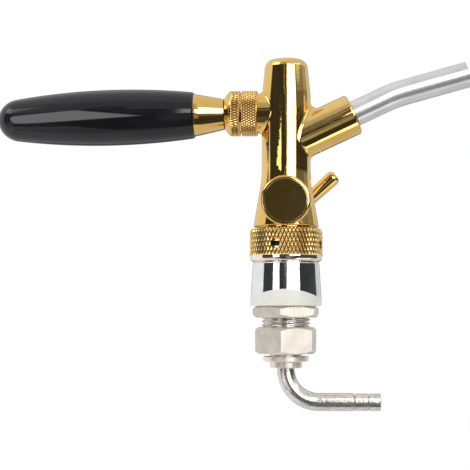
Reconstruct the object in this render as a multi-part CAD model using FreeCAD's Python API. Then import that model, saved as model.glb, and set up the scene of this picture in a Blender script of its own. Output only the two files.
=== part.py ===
import FreeCAD, Part
import math
import os

from FreeCAD import Placement, Rotation, Vector

# Adjustable beer faucet on a short shank, at its real size, in millimetres.
# The shank and the body share the Y axis. The wall seat is y = 0, the nose points to -Y and the tail to +Y.
# Z is up, along the closed lever, and the spout leaves the body downwards. X is the axis of the flow control.

# Fits and gaps
thread_play = 0.02        # radial play between pieces that screw together
running_play = 0.05       # radial play of shafts, balls and slides
face_gap = 0.1            # gap between faces that meet and move apart
moving_gap = 0.4          # room round pieces that sweep past each other
fine_edge = 0.3           # rounding of crisp edges
soft_edge = 0.5           # rounding of softer edges
beyond = 1.0              # how far a cutting solid runs past the face it opens

# Wall stack: saddle washer, collar, lock nut
washer_radius = 17.0
washer_crown = 7.8        # thickness where the saddle is highest
column_radius = 34.0      # the curved tower that the saddle is cut for
collar_length = 12.6      # from the saddle's crown to the front rim
collar_front_radius = 15.8
collar_back_radius = 17.1
collar_wall = 2.2
lock_nut_flats = 29.2
lock_nut_height = 5.5
lock_nut_travel = 4.2
hexagon_turn = 7.5        # degrees that the nuts' corners stand off the near side
nut_chamfer = 0.55        # how far a hexagon's end chamfer reaches inside its flats

# Shank
thread_radius = 11.455    # G 5/8
thread_pitch = 1.814
thread_depth = 1.0
thread_end_chamfer = 0.5
lock_nut_bore_chamfer = 0.6
shank_bore_radius = 5.0
shank_front_radius = 14.5
shank_thread_length = 5.3  # engaged in the coupling nut
shank_flange_radius = 15.2
shank_flange_thickness = 2.3
shank_mouth_radius = 7.7
shank_taper_length = 21.0
shank_tail_engaged = 7.2   # length of thread inside the tail nut

# Coupling nut and its snap ring
coupling_radius = 17.45
coupling_length = 16.2
coupling_front_chamfer = 2.3
coupling_back_chamfer = 1.7
coupling_flange = 3.4
coupling_gap = 0.5         # between the nut and the pieces before and behind it
spanner_hole_radius = 2.3
spanner_hole_count = 4
spanner_hole_turn = 16.6   # degrees that the first hole stands off the near side
snap_ring_thickness = 1.6
snap_ring_depth = 1.0
snap_ring_height = 2.2
snap_ring_opening = 4.0
gasket_thickness = 1.8

# Body, with distances measured forward from its shoulder at the coupling nut
body_radius = 11.65
shoulder_radius = 15.6
shoulder_edge = 0.5
flare_length = 23.0
flare_blend = 60.0
tail_radius = 13.0
tail_length = 7.4
nose_distance = 80.1
nose_radius = 9.9
nose_taper = 17.0
nose_blend = 25.0
nose_corner = 4.2
lever_distance = 54.5
spout_distance = 39.0
flow_distance = 11.5
rear_bore_radius = 8.6
chamber_radius = 7.0
throat_radius = 5.2
throat_length = 2.5
throat_distance = 31.6     # to the face that the seat washer closes
guide_length = 10.0
guide_floor = 5.5          # solid metal left in the nose

# Lever neck, ball and knurled rings, with heights above the shank axis
pivot_height = 17.5
neck_radius = 9.4
neck_top = 17.0
neck_fillet = 2.0
ball_radius = 6.8
seat_outer_radius = 7.5
seat_floor = 10.5
seat_top = 16.4
tongue_radius = 1.5
tongue_tip_radius = 2.8
tongue_gap = 0.4
tongue_bore_radius = 5.6
bonnet_radius = 10.9
bonnet_bottom = 13.8
bonnet_length = 7.5
bonnet_lip = 1.0           # roof above the upper ball washer
bonnet_mouth_radius = 6.6
spigot_radius = 8.8
spigot_length = 3.9
ball_washer_radius = 8.2
ball_washer_mouth = 4.1
ball_washer_bottom = 18.5
ring_gap = 0.75            # the groove between the two knurled rings
cap_length = 4.45
cap_edge = 0.5
dome_wall = 1.5
dome_mouth_radius = 7.2
ferrule_bottom_radius = 7.35
ferrule_top_radius = 10.05
ferrule_length = 14.2
ferrule_flare = 20.0       # rounding where its cone meets the rim under the handle
ferrule_rim = 0.8
ferrule_skirt = 3.0        # depth of the ring under its cone, before the dome's room is cut
ferrule_relief_play = 1.2  # room round the stem inside the ferrule's foot
dome_gap = 0.3

# Lever and handle, with heights above the pivot
lever_lean = 1.5           # degrees that the closed lever leans back
lever_open = 18.0          # degrees that it tips forward to pour
stem_neck_radius = 2.75
stem_thread_radius = 4.0
stem_neck_length = 15.5
insert_radius = 6.0
insert_length = 17.0
stem_short = 3.0           # how far the stem ends inside the insert
handle_length = 95.0
handle_base_radius = 11.0
handle_belly_radius = 13.35
handle_belly = 39.3        # from the handle's base to its widest place
handle_barrel = 86.0       # length of the barrel, before the rounded tip
handle_edge = 0.8

# Valve shaft
shaft_radius = 3.5
shaft_rod_radius = 3.0
shaft_end_radius = 2.0
shaft_block_radius = 4.8
shaft_block_length = 10.0
shaft_nose_room = 0.6      # from the shaft's front end to the bottom of its guide
shaft_end_proud = 0.5      # how far the shaft's end stands out of its nut
seat_washer_radius = 7.3
seat_washer_thickness = 2.5
shaft_nut_flats = 7.0
shaft_nut_height = 3.2

# Flow control
boss_radius = 11.8
boss_reach = 15.8          # from the shank axis to the boss's face
boss_edge = 1.3
cross_bore_radius = 7.0
cap_disc_radius = 10.1
cap_disc_thickness = 1.5
cap_disc_proud = 0.15
cap_plug_length = 4.5
cap_seal_section = 1.2
gland_length = 6.6
spindle_radius = 4.0
spindle_flange_radius = 5.4
spindle_flange_thickness = 2.0
spindle_square = 5.0
spindle_groove_depth = 0.8
spindle_groove_width = 1.9
eccentric_offset = 2.5
eccentric_radius = 1.5
eccentric_length = 4.6
flow_swing = 45.0          # degrees each way from rest
knob_radius = 9.6
knob_thickness = 8.4
knob_edge = 0.8
knob_screw_radius = 1.5
knob_screw_head_radius = 2.6
knob_screw_head_height = 2.0
knob_screw_length = 9.0
knob_screw_key = 2.5
knob_screw_key_depth = 1.2
knob_screw_sunk = 0.2
rod_base_radius = 3.3
rod_tip_radius = 3.7
rod_tip_rounding = 2.2
rod_offset = 4.8           # the rod passes the knob's screw on one side
rod_start = 4.0            # its inner end stops short of the spindle's square
rod_length = 28.2
rod_angle = 42.3           # degrees from straight down towards the nose
compensator_radius = 6.6
compensator_stem_radius = 5.4
compensator_stem_length = 12.5
compensator_tip_radius = 4.0
compensator_tip_rounding = 2.4
compensator_taper_length = 17.0
compensator_lead = 1.5     # how far its cone starts before the shank's mouth

# Spout
spout_angle = 25.0         # degrees from straight down towards the nose
spout_end_angle = 15.5
socket_radius = 9.9
socket_length = 35.6       # from the shank axis to the socket's face
socket_edge = 1.1
socket_fillet = 3.0
socket_chamfer = 0.8
socket_depth = 18.0
spout_radius = 6.1
spout_wall = 1.0
spout_straight = 52.3      # from the shank axis to the start of the bend
spout_bend_radius = 60.0
spout_end_length = 31.0
spout_seal_section = 1.6
spout_seal_spacing = 7.0
spout_seal_first = 4.5

# Tail
tail_nut_flats = 27.0
tail_nut_height = 12.5
tail_gasket_thickness = 1.5
sleeve_flange_thickness = 1.9
sleeve_flange_room = 0.85  # radial room between the sleeve's flange and the nut's thread
sleeve_radius = 7.55
sleeve_length = 10.5       # from the flange's front to the sleeve's end
sleeve_edge = 0.4
ring_thickness = 2.3
ring_radius = 10.7
ring_distance = 1.3        # from the tail nut to the ring
elbow_radius = 4.2
elbow_wall = 1.0
elbow_bend_radius = 15.6
elbow_reach = 16.15         # from the sleeve's end to the outgoing centre line
elbow_out = 44.9           # length of the outgoing leg, from the shank axis
hose_radius = 4.05
hose_length = 12.9
hose_groove_depth = 0.45
hose_groove_width = 0.9
hose_groove_spacing = 6.7

# Places along the shank, worked out from the sizes above
ALONG = Vector(0, 1, 0)
UP = Vector(0, 0, 1)
ACROSS = Vector(1, 0, 0)
collar_front = -(washer_crown + collar_length)
coupling_back = collar_front - coupling_gap
coupling_front = coupling_back - coupling_length
shoulder = coupling_front - coupling_gap
tail_end = shoulder + tail_length
shank_front = tail_end + gasket_thickness
nose = shoulder - nose_distance
lever_place = shoulder - lever_distance
spout_place = shoulder - spout_distance
flow_place = shoulder - flow_distance
seat_face = shoulder - throat_distance
chamber_end = seat_face - throat_length
guide_end = nose + guide_floor
chamber_front = guide_end + guide_length
lock_nut_front = face_gap
tail_nut_front = lock_nut_front + lock_nut_height + lock_nut_travel + moving_gap
shank_end = tail_nut_front + shank_tail_engaged
sleeve_front = shank_end + tail_gasket_thickness
sleeve_flange_radius = thread_radius - sleeve_flange_room
tail_nut_end = tail_nut_front + tail_nut_height
sleeve_end = sleeve_front + sleeve_length
pivot = Vector(0, lever_place, pivot_height)
flow_centre = Vector(0, flow_place, 0)
bonnet_top = bonnet_bottom + bonnet_length
cap_bottom = bonnet_top + ring_gap
cap_top = cap_bottom + cap_length
dome_radius = math.hypot(bonnet_radius - cap_edge, cap_top + cap_edge - pivot_height)
ferrule_bottom = math.sqrt(dome_radius ** 2 - ferrule_bottom_radius ** 2) + dome_gap
ferrule_top = ferrule_bottom + ferrule_length
spout_direction = Vector(0, -math.sin(math.radians(spout_angle)), -math.cos(math.radians(spout_angle)))
spout_root = Vector(0, spout_place, 0)


def rounded_wire(outline):
    """A closed wire in the XZ plane through (radius, height[, corner radius]) points."""
    corners = [Vector(point[0], 0, point[1]) for point in outline]
    edges = []
    starts, ends, arcs = [], [], []
    for index, point in enumerate(outline):
        corner = corners[index]
        corner_radius = point[2] if len(point) > 2 else 0
        if corner_radius == 0:
            starts.append(corner)
            ends.append(corner)
            arcs.append(None)
            continue
        before = (corners[index - 1] - corner).normalize()
        after = (corners[(index + 1) % len(corners)] - corner).normalize()
        half_angle = before.getAngle(after) / 2
        reach = corner_radius / math.tan(half_angle)
        centre = corner + (before + after).normalize() * (corner_radius / math.sin(half_angle))
        middle = centre + (corner - centre).normalize() * corner_radius
        starts.append(corner + before * reach)
        ends.append(corner + after * reach)
        arcs.append(middle)
    for index, middle in enumerate(arcs):
        if middle:
            edges.append(Part.Arc(starts[index], middle, ends[index]).toShape())
        following = starts[(index + 1) % len(starts)]
        if (following - ends[index]).Length > 1e-6:
            edges.append(Part.LineSegment(ends[index], following).toShape())
    return Part.Wire(edges)


def turned(outline):
    """A solid turned about the Z axis from (radius, height[, corner radius]) points."""
    return Part.Face(rounded_wire(outline)).revolve(Vector(), UP, 360)


def placed(shape, origin, direction, turn=0.0):
    """The shape with its own Z axis laid along a direction, after a turn about that axis."""
    aim = Rotation(UP, direction)
    shape.Placement = Placement(origin, aim.multiply(Rotation(UP, turn)))
    return shape


def on_shank(outline, turn=0.0):
    """A turned solid on the shank axis, whose heights are places along Y."""
    return placed(turned(outline), Vector(), ALONG, turn)


def on_lever(outline):
    """A turned solid on the leaning lever axis, whose heights start at the pivot."""
    lean = math.radians(lever_lean)
    return placed(turned(outline), pivot, Vector(0, math.sin(lean), math.cos(lean)))


def on_neck(outline):
    """A turned solid on the upright axis of the lever neck, whose heights start at the shank axis."""
    return placed(turned(outline), Vector(0, lever_place, 0), UP)


def across(outline, side):
    """A turned solid on the flow control's axis, whose heights run out to the +X or -X side."""
    return placed(turned(outline), flow_centre, ACROSS * side)


def rod(radius, start, end):
    """Outline of a plain rod between two heights."""
    return [(0, start), (radius, start), (radius, end), (0, end)]


def tube(outer, inner, start, end):
    """Outline of a plain ring between two heights."""
    return [(inner, start), (outer, start), (outer, end), (inner, end)]


def hexagon(flats, height, front_chamfer=True, back_chamfer=True):
    """A hexagonal prism with the usual conical chamfers, standing on the XY plane."""
    corner = flats / math.sqrt(3)
    points = [Vector(corner * math.cos(math.radians(60 * k)), corner * math.sin(math.radians(60 * k)), 0)
              for k in range(7)]
    prism = Part.Face(Part.makePolygon(points)).extrude(Vector(0, 0, height))
    flat_end = flats / 2 - nut_chamfer
    drop = (corner - flat_end) * math.tan(math.radians(30))
    envelope = [(0, 0)]
    envelope += [(flat_end, 0), (corner, drop)] if front_chamfer else [(corner, 0)]
    envelope += [(corner, height - drop), (flat_end, height)] if back_chamfer else [(corner, height)]
    envelope += [(0, height)]
    return prism.common(turned(envelope))


def hexagon_on_shank(flats, start, height):
    """A hexagonal prism on the shank axis, turned as the photographed nuts stand."""
    nearest_corner = 180 + hexagon_turn
    return placed(hexagon(flats, height), Vector(0, start, 0), ALONG, nearest_corner)


def pipe(path_edges, radius, start, direction):
    """A round solid swept along joined edges."""
    section = Part.Wire(Part.Circle(start, direction, radius).toShape())
    return Part.Wire(path_edges).makePipeShell([section], True, True)


def blended(base, branch, radius):
    """Two solids joined, with a fillet along the seam where their surfaces meet."""
    meeting = base.section(branch)
    joined = base.fuse(branch)
    seam = [edge for edge in joined.Edges
            if meeting.distToShape(Part.Vertex(edge.valueAt(sum(edge.ParameterRange) / 2)))[0] < 1e-3]
    return joined.makeFillet(radius, seam)


def export(name, shape):
    """Writes one named piece."""
    shape.exportStep("parts/" + name + ".step")


def main_body():
    """Casting: nose, barrel, flared rear, spout socket, lever neck and the two side bosses."""
    barrel = on_shank([
        (0, nose),
        (nose_radius, nose, nose_corner),
        (body_radius, nose + nose_taper, nose_blend),
        (body_radius, shoulder - flare_length, flare_blend),
        (shoulder_radius, shoulder, shoulder_edge),
        (tail_radius, shoulder),
        (tail_radius, tail_end),
        (0, tail_end),
    ])
    socket = placed(turned([
        (0, 0),
        (socket_radius, 0),
        (socket_radius, socket_length, socket_edge),
        (0, socket_length),
    ]), spout_root, spout_direction)
    neck = on_neck(rod(neck_radius, 0, neck_top))
    outside = blended(barrel, socket, socket_fillet)
    outside = blended(outside, neck, neck_fillet)
    for side in (1, -1):
        boss = across([(0, 0), (boss_radius, 0), (boss_radius, boss_reach, boss_edge), (0, boss_reach)], side)
        outside = outside.fuse(boss.cut(behind_shoulder()))
    return outside


def behind_shoulder():
    """A block behind the body's shoulder, where the bosses would run into the coupling nut."""
    half_width = boss_reach + beyond
    depth = boss_radius + beyond
    return Part.makeBox(2 * half_width, depth, 2 * depth, Vector(-half_width, shoulder, -depth))


def body_hollows():
    """Everything that is bored out of the casting."""
    hollows = [
        on_shank(rod(shaft_radius + running_play, guide_end, chamber_front + beyond)),
        on_shank(rod(chamber_radius, chamber_front, chamber_end)),
        on_shank(rod(throat_radius, chamber_end - beyond, seat_face + beyond)),
        on_shank(rod(rear_bore_radius, seat_face, tail_end + beyond)),
        on_neck(rod(tongue_bore_radius, 0, seat_floor + beyond)),
        on_neck(rod(seat_outer_radius, seat_floor, neck_top + beyond)),
        placed(turned(rod(spout_radius - spout_wall, 0, socket_length)), spout_root, spout_direction),
        placed(turned([
            (0, socket_length - socket_depth),
            (spout_radius, socket_length - socket_depth),
            (spout_radius, socket_length - socket_chamfer),
            (spout_radius + socket_chamfer, socket_length),
            (spout_radius + socket_chamfer, socket_length + beyond),
            (0, socket_length + beyond),
        ]), spout_root, spout_direction),
        across(rod(cross_bore_radius, 0, boss_reach + beyond), 1),
        across(rod(cross_bore_radius, 0, boss_reach + beyond), -1),
        across(rod(cap_disc_radius + thread_play, boss_reach - cap_disc_thickness, boss_reach + beyond), -1),
        snap_ring_groove(),
    ]
    for place in spout_seal_places():
        hollows.append(placed(turned(tube(
            spout_radius + spout_seal_section - running_play, spout_radius - beyond,
            place, place + spout_seal_section)), spout_root, spout_direction))
    return hollows


def snap_ring_groove():
    groove_front = coupling_front + coupling_flange + face_gap
    return on_shank(tube(tail_radius + beyond, tail_radius - snap_ring_depth,
                         groove_front, groove_front + snap_ring_thickness))


def spout_seal_places():
    first = socket_length - spout_seal_first - spout_seal_section
    return [first, first - spout_seal_spacing]


def faucet_body():
    casting = main_body()
    for hollow in body_hollows():
        casting = casting.cut(hollow)
    return casting


def side_cap():
    """Screwed plug with a flat disc that closes the near boss."""
    disc_floor = boss_reach - cap_disc_thickness
    return across([
        (0, disc_floor - cap_plug_length),
        (cross_bore_radius - thread_play, disc_floor - cap_plug_length),
        (cross_bore_radius - thread_play, disc_floor - cap_seal_section),
        (cross_bore_radius - cap_seal_section, disc_floor - cap_seal_section),
        (cross_bore_radius - cap_seal_section, disc_floor),
        (cap_disc_radius, disc_floor),
        (cap_disc_radius, boss_reach + cap_disc_proud, cap_disc_proud),
        (0, boss_reach + cap_disc_proud),
    ], -1)


def side_cap_seal():
    disc_floor = boss_reach - cap_disc_thickness
    rounding = cap_seal_section * 0.3
    return across([
        (cross_bore_radius - cap_seal_section, disc_floor - cap_seal_section),
        (cross_bore_radius - thread_play, disc_floor - cap_seal_section, rounding),
        (cross_bore_radius - thread_play, disc_floor, rounding),
        (cross_bore_radius - cap_seal_section, disc_floor),
    ], -1)


def flow_gland():
    """Threaded bush that guides the spindle in the far boss."""
    return across(tube(cross_bore_radius - thread_play, spindle_radius + running_play,
                       boss_reach - gland_length, boss_reach), 1)


gland_back = boss_reach - gland_length
spindle_back = gland_back - face_gap - spindle_flange_thickness
knob_face = boss_reach + moving_gap
knob_middle = knob_face + knob_thickness / 2
knob_out = knob_face + knob_thickness
screw_seat = knob_out - knob_screw_head_height
spindle_out = screw_seat - face_gap
groove_out = boss_reach - gland_length / 2 + spindle_groove_width / 2


def flow_spindle():
    """Spindle with a flange, a seal groove, a squared outer end and an eccentric pin inside."""
    turned_shaft = across([
        (0, spindle_back),
        (spindle_flange_radius, spindle_back, fine_edge),
        (spindle_flange_radius, spindle_back + spindle_flange_thickness),
        (spindle_radius, spindle_back + spindle_flange_thickness),
        (spindle_radius, groove_out - spindle_groove_width),
        (spindle_radius - spindle_groove_depth, groove_out - spindle_groove_width),
        (spindle_radius - spindle_groove_depth, groove_out),
        (spindle_radius, groove_out),
        (spindle_radius, spindle_out),
        (0, spindle_out),
    ], 1)
    square_length = spindle_out - knob_face
    flats = spindle_square_block(square_length, 0.0, 4 * spindle_radius)
    square = spindle_square_block(square_length, 0.0, 0.0)
    shaft = turned_shaft.cut(flats.cut(square))
    pin_end = spindle_back - eccentric_length
    pin = placed(turned([
        (0, pin_end),
        (eccentric_radius, pin_end, fine_edge),
        (eccentric_radius, spindle_back + beyond),
        (0, spindle_back + beyond),
    ]), flow_centre + UP * eccentric_offset, ACROSS)
    screw_end = screw_seat - knob_screw_length
    tapped = across(rod(knob_screw_radius + thread_play, screw_end, spindle_out + beyond), 1)
    return shaft.fuse(pin).cut(tapped)


def spindle_square_block(length, play, extra):
    """The square end of the spindle, or a larger block for cutting round it."""
    side = spindle_square + 2 * play + extra
    block = Part.makeBox(length, side, side, Vector(knob_face, flow_place - side / 2, -side / 2))
    return block


def spindle_seal():
    inner = spindle_radius - spindle_groove_depth
    outer = spindle_radius + running_play - 0.01
    start = groove_out - spindle_groove_width + 0.1
    end = groove_out - 0.1
    rounding = (outer - inner) * 0.4
    return across([(inner, start), (outer, start, rounding), (outer, end, rounding), (inner, end)], 1)


def rod_axis():
    """Direction of the pin lever's rod and the foot of the line from the flow axis to it."""
    angle = math.radians(rod_angle)
    direction = Vector(0, -math.sin(angle), -math.cos(angle))
    sideways = Vector(0, math.cos(angle), -math.sin(angle))
    foot = flow_centre + ACROSS * knob_middle + sideways * rod_offset
    return foot, direction


def flow_lever():
    """Tapered rod with a rounded tip, set in the knob beside its screw."""
    foot, direction = rod_axis()
    return placed(turned([
        (0, rod_start),
        (rod_base_radius, rod_start, fine_edge),
        (rod_base_radius, knob_radius),
        (rod_tip_radius, rod_length, rod_tip_rounding),
        (0, rod_length),
    ]), foot, direction)


def flow_knob():
    """Round hub on the spindle's square, holding the rod."""
    foot, direction = rod_axis()
    hub = across([
        (0, knob_face),
        (knob_radius, knob_face, knob_edge / 2),
        (knob_radius, knob_out, knob_edge),
        (0, knob_out),
    ], 1)
    rod_hole = placed(turned(rod(rod_base_radius, rod_start, knob_radius)), foot, direction)
    square_hole = spindle_square_block(screw_seat - knob_face, thread_play, 0.0)
    screw_hole = across(rod(knob_screw_radius + running_play, screw_seat - beyond, knob_out + beyond), 1)
    head_hole = across(rod(knob_screw_head_radius + running_play, screw_seat, knob_out + beyond), 1)
    return hub.cut([rod_hole, square_hole, screw_hole, head_hole])


def knob_screw():
    head_out = knob_out - knob_screw_sunk
    screw = across([
        (0, screw_seat - knob_screw_length),
        (knob_screw_radius, screw_seat - knob_screw_length),
        (knob_screw_radius, screw_seat),
        (knob_screw_head_radius, screw_seat),
        (knob_screw_head_radius, head_out, fine_edge),
        (0, head_out),
    ], 1)
    socket = placed(hexagon(knob_screw_key, knob_screw_head_height, False, False),
                    flow_centre + ACROSS * (head_out - knob_screw_key_depth), ACROSS)
    return screw.cut(socket)


def compensator():
    """Candle-shaped throttle that reaches into the shank's tapered mouth."""
    front = flow_place - compensator_stem_length / 2
    shoulder_place = flow_place + compensator_stem_length / 2
    cone_start = shank_front - compensator_lead
    cone_end = cone_start + compensator_taper_length
    candle = on_shank([
        (0, front),
        (compensator_stem_radius, front, soft_edge),
        (compensator_stem_radius, shoulder_place),
        (compensator_radius, shoulder_place + compensator_radius - compensator_stem_radius),
        (compensator_radius, cone_start),
        (compensator_tip_radius, cone_end, compensator_tip_rounding),
        (0, cone_end),
    ])
    slot_half = eccentric_radius + tongue_gap
    slot_depth = compensator_stem_radius + beyond
    pin_end = spindle_back - eccentric_length - moving_gap
    slot_height = eccentric_offset + eccentric_radius + moving_gap
    slot = Part.makeBox(slot_depth, 2 * slot_half, 2 * slot_height,
                        Vector(pin_end, flow_place - slot_half, -slot_height))
    return candle.cut(slot)


def coupling_nut():
    """Union nut, caught on the body's tail and screwed on the shank's front thread."""
    flange_back = coupling_front + coupling_flange
    thread_end = shank_front + shank_thread_length + face_gap
    nut = on_shank([
        (tail_radius + running_play * 3, coupling_front),
        (coupling_radius, coupling_front, coupling_front_chamfer),
        (coupling_radius, coupling_back, coupling_back_chamfer),
        (shank_flange_radius + running_play * 4, coupling_back),
        (shank_flange_radius + running_play * 4, thread_end),
        (shank_front_radius + running_play, thread_end),
        (shank_front_radius + running_play, flange_back),
        (tail_radius + running_play * 3, flange_back),
    ])
    middle = Vector(0, (coupling_front + coupling_back) / 2, 0)
    hole = rod(spanner_hole_radius, shank_front_radius - beyond, coupling_radius + beyond)
    holes = []
    for index in range(spanner_hole_count):
        angle = math.radians(spanner_hole_turn + index * 360 / spanner_hole_count)
        outwards = Vector(-math.cos(angle), 0, math.sin(angle))
        holes.append(placed(turned(hole), middle, outwards))
    return nut.cut(holes)


def snap_ring():
    """Split ring in the tail's groove that keeps the coupling nut on the body."""
    front = coupling_front + coupling_flange + face_gap
    ring = on_shank(tube(tail_radius - snap_ring_depth + snap_ring_height, tail_radius - snap_ring_depth,
                         front, front + snap_ring_thickness))
    gap = Part.makeBox(snap_ring_opening, snap_ring_thickness + 2 * beyond, 2 * tail_radius,
                       Vector(-snap_ring_opening / 2, front - beyond, 0))
    return ring.cut(gap)


def coupling_gasket():
    return on_shank(tube(tail_radius, rear_bore_radius, tail_end, shank_front))


def thread_ridges(start, end):
    """Outline points of a screw thread's ridges between two heights, with flats on crest and root."""
    points = []
    flat = thread_pitch / 7
    flank = thread_pitch / 2 - flat
    for index in range(int((end - start) / thread_pitch)):
        ridge = start + index * thread_pitch
        points += [
            (thread_radius, ridge + flat),
            (thread_radius - thread_depth, ridge + flat + flank),
            (thread_radius - thread_depth, ridge + 2 * flat + flank),
            (thread_radius, ridge + 2 * flat + 2 * flank),
        ]
    return points


def shank():
    """Hollow screw through the wall, with a flange and a short front thread for the coupling nut."""
    flange_back = collar_front
    flange_front = flange_back - shank_flange_thickness
    outline = [
        (shank_mouth_radius, shank_front),
        (shank_front_radius, shank_front, soft_edge),
        (shank_front_radius, flange_front),
        (shank_flange_radius, flange_front),
        (shank_flange_radius, flange_back),
        (thread_radius, flange_back),
    ]
    outline += thread_ridges(lock_nut_front, shank_end - thread_pitch / 2)
    outline += [
        (thread_radius, shank_end - thread_end_chamfer),
        (thread_radius - thread_end_chamfer, shank_end),
        (shank_bore_radius, shank_end),
        (shank_bore_radius, shank_front + shank_taper_length),
    ]
    return on_shank(outline)


def saddle_cutter(start, length):
    """The curved tower's surface, as a round bar across the shank with its crown at a place on Y."""
    centre = Vector(-length / 2, start + column_radius, 0)
    return Part.makeCylinder(column_radius, length, centre, ACROSS)


def shank_collar():
    """Chromed cone between the coupling nut and the saddle washer."""
    collar = on_shank([
        (thread_radius + thread_play, collar_front),
        (collar_front_radius, collar_front, soft_edge),
        (collar_back_radius, 0),
        (collar_back_radius - collar_wall, 0),
        (collar_front_radius - collar_wall, collar_front + collar_wall),
        (thread_radius + thread_play, collar_front + collar_wall),
    ])
    return collar.cut(saddle_cutter(-washer_crown, 4 * collar_back_radius))


def saddle_washer():
    """Nylon washer, flat against the wall and curved against the collar."""
    blank = on_shank([
        (thread_radius + thread_play, -washer_crown - beyond),
        (washer_radius, -washer_crown - beyond),
        (washer_radius, 0, soft_edge),
        (thread_radius + thread_play, 0),
    ])
    return blank.common(saddle_cutter(-washer_crown, 4 * washer_radius))


def lock_nut():
    nut = hexagon_on_shank(lock_nut_flats, lock_nut_front, lock_nut_height)
    bore_radius = thread_radius + running_play
    mouth_radius = bore_radius + lock_nut_bore_chamfer + beyond
    back = lock_nut_front + lock_nut_height
    bore = on_shank([
        (0, lock_nut_front - beyond),
        (mouth_radius, lock_nut_front - beyond),
        (bore_radius, lock_nut_front + lock_nut_bore_chamfer),
        (bore_radius, back - lock_nut_bore_chamfer),
        (mouth_radius, back + beyond),
        (0, back + beyond),
    ])
    return nut.cut(bore)


def tail_nut():
    nut = hexagon_on_shank(tail_nut_flats, tail_nut_front, tail_nut_height)
    shelf = sleeve_front + sleeve_flange_thickness + face_gap
    thread_bore = on_shank(rod(thread_radius + running_play, tail_nut_front - beyond, shelf))
    neck_bore = on_shank(rod(sleeve_radius + running_play, shelf - beyond, tail_nut_end + beyond))
    return nut.cut([thread_bore, neck_bore])


def tail_gasket():
    return on_shank(tube(sleeve_flange_radius, shank_bore_radius, shank_end, sleeve_front))


def tail_sleeve():
    """Flanged sleeve that the tail nut pulls against the shank."""
    flange_back = sleeve_front + sleeve_flange_thickness
    return on_shank([
        (elbow_radius - elbow_wall, sleeve_front),
        (sleeve_flange_radius, sleeve_front),
        (sleeve_flange_radius, flange_back),
        (sleeve_radius, flange_back),
        (sleeve_radius, sleeve_end, sleeve_edge),
        (elbow_radius, sleeve_end),
        (elbow_radius, flange_back),
        (elbow_radius - elbow_wall, flange_back),
    ])


def tail_ring():
    start = tail_nut_end + ring_distance
    return on_shank([
        (sleeve_radius, start),
        (ring_radius, start, fine_edge),
        (ring_radius, start + ring_thickness, fine_edge),
        (sleeve_radius, start + ring_thickness),
    ])


def elbow_path(start_place, end_reach):
    """Edges of the tail tube's centre line: back along the shank, round the bend and down."""
    corner_place = sleeve_end + elbow_reach
    bend_start = Vector(0, corner_place - elbow_bend_radius, 0)
    bend_end = Vector(0, corner_place, -elbow_bend_radius)
    diagonal = elbow_bend_radius * (1 - math.sqrt(0.5))
    middle = Vector(0, corner_place - diagonal, -diagonal)
    return [
        Part.LineSegment(Vector(0, start_place, 0), bend_start).toShape(),
        Part.Arc(bend_start, middle, bend_end).toShape(),
        Part.LineSegment(bend_end, Vector(0, corner_place, -end_reach)).toShape(),
    ]


def tail_elbow():
    """Bent tail tube with a grooved end for the beer hose."""
    start = Vector(0, sleeve_front + sleeve_flange_thickness, 0)
    path = elbow_path(start.y, elbow_out)
    outer = pipe(path, elbow_radius, start, ALONG)
    inner = pipe(path, elbow_radius - elbow_wall, start, ALONG)
    corner_place = sleeve_end + elbow_reach
    relief = placed(turned(hose_relief()), Vector(0, corner_place, 0), -UP)
    return outer.cut([inner, relief])


def hose_relief():
    """What is turned off the tube's end: a smaller diameter with two grooves and a rounded mouth."""
    start = elbow_out - hose_length
    outside = elbow_radius + beyond
    outline = [(outside, start)]
    for index in range(2):
        groove = start + index * hose_groove_spacing
        outline += [
            (hose_radius, groove),
            (hose_radius - hose_groove_depth, groove + hose_groove_width / 2),
            (hose_radius, groove + hose_groove_width),
        ]
    outline += [
        (hose_radius, elbow_out - fine_edge),
        (hose_radius - fine_edge, elbow_out),
        (outside, elbow_out),
    ]
    return outline


def spout_path():
    """Edges of the spout tube's centre line: down the socket, round the bend and on."""
    turn = math.radians(spout_angle - spout_end_angle)
    along = spout_direction
    sideways = Vector(0, math.cos(math.radians(spout_angle)), -math.sin(math.radians(spout_angle)))
    start = spout_root + along * (socket_length - socket_depth)
    bend_start = spout_root + along * spout_straight

    def on_bend(angle):
        return (bend_start + along * (spout_bend_radius * math.sin(angle))
                + sideways * (spout_bend_radius * (1 - math.cos(angle))))

    bend_end = on_bend(turn)
    out = along * math.cos(turn) + sideways * math.sin(turn)
    return start, [
        Part.LineSegment(start, bend_start).toShape(),
        Part.Arc(bend_start, on_bend(turn / 2), bend_end).toShape(),
        Part.LineSegment(bend_end, bend_end + out * spout_end_length).toShape(),
    ]


def spout_tube():
    start, path = spout_path()
    outer = pipe(path, spout_radius, start, spout_direction)
    inner = pipe(path, spout_radius - spout_wall, start, spout_direction)
    return outer.cut(inner)


def spout_seals():
    rings = []
    for place in spout_seal_places():
        outer = spout_radius + spout_seal_section - running_play
        rounding = spout_seal_section * 0.35
        rings.append(placed(turned([
            (spout_radius, place), (outer, place, rounding),
            (outer, place + spout_seal_section, rounding), (spout_radius, place + spout_seal_section),
        ]), spout_root, spout_direction))
    return Part.makeCompound(rings)


def ball_seat():
    """Lower cup of the lever's ball, pressed in the neck."""
    cup = on_neck(tube(seat_outer_radius, tongue_bore_radius, seat_floor, seat_top))
    return cup.cut(Part.makeSphere(ball_radius + running_play, pivot))


def ball_washer():
    """Upper cup of the ball, under the bonnet's roof."""
    cup = on_neck(tube(ball_washer_radius, ball_washer_mouth, ball_washer_bottom, bonnet_top - bonnet_lip))
    return cup.cut(Part.makeSphere(ball_radius + running_play, pivot))


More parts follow.
